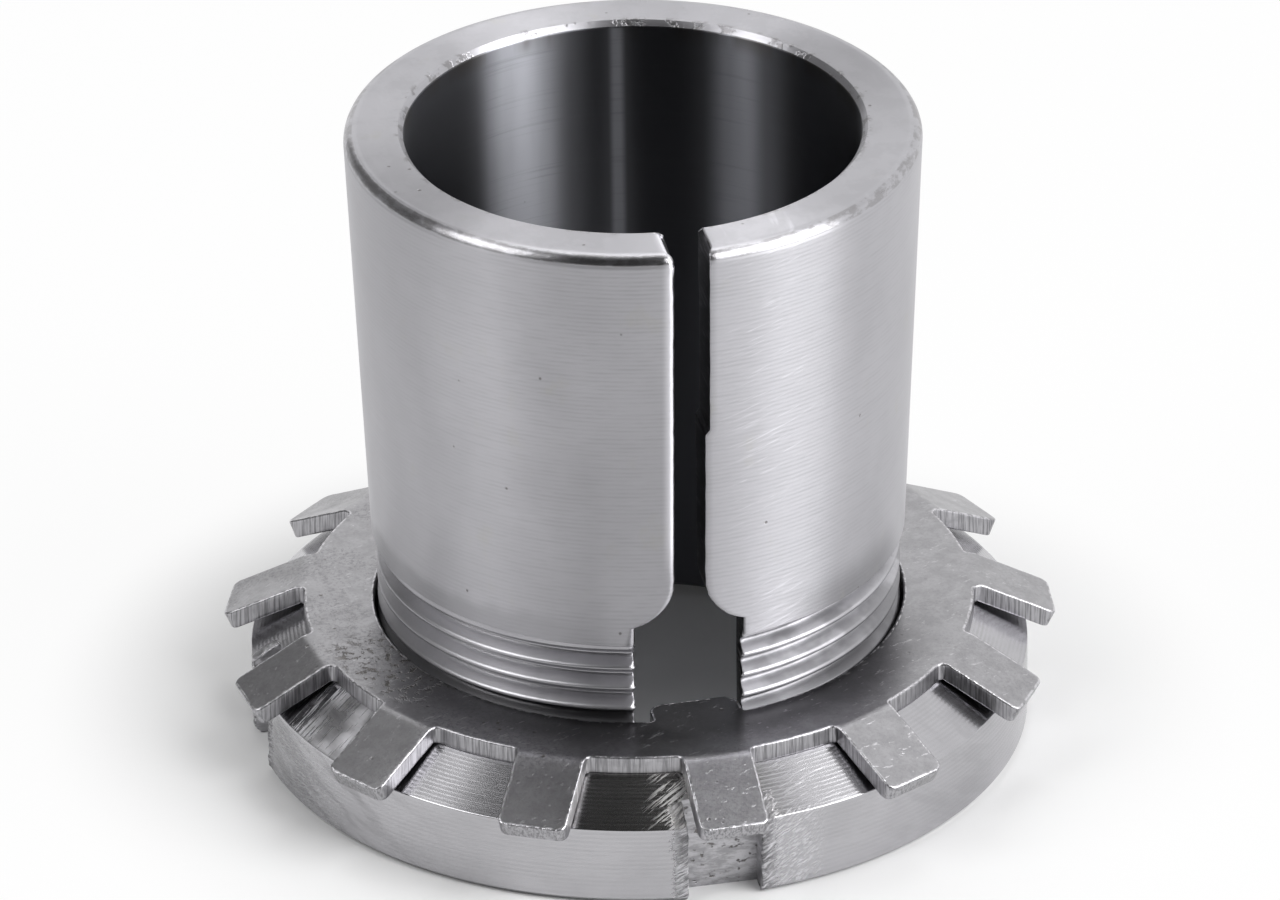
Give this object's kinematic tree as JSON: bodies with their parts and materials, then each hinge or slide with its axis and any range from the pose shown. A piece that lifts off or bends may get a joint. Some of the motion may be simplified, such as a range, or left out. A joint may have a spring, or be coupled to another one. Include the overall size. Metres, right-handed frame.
{
  "type": "bearing adapter sleeve",
  "caption": "Split taper sleeve with a threaded end, tabbed lock washer and slotted lock nut, for fixing a taper-bore bearing on a plain shaft.",
  "frame": {"origin": "on the axis, in the lock nut's back face, which the assembly stands on", "axes": "+Z along the bore towards the sleeve's large end; the sleeve's slit and keyway face -Y"},
  "size_m": [0.0559, 0.0556, 0.0439],
  "materials": {
    "turned_steel": "fine turned, satin",
    "stamped_steel": "stamped sheet, dull satin with sheared edges",
    "milled_steel": "coarse turned with milled slots"
  },
  "bodies": {
    "sleeve": {"sleeve": "turned_steel"},
    "washer": {"lock_washer": "stamped_steel"},
    "nut": {"lock_nut": "milled_steel"}
  },
  "joints": [
    {"name": "washer_slide", "type": "slide", "parent": "sleeve", "child": "washer", "axis": [0, 0, 1], "range_m": [-0.00526, 0.00526]},
    {"name": "nut_spin", "type": "hinge", "parent": "washer", "child": "nut", "pos_m": [0, 0, 0.0039], "axis": [0, 0, 1], "range_deg": [-1260, 1260]}
  ],
  "couplings": [
    {"joint": "washer_slide", "follows": "nut_spin", "m_per_rad": 0.00023873}
  ]
}
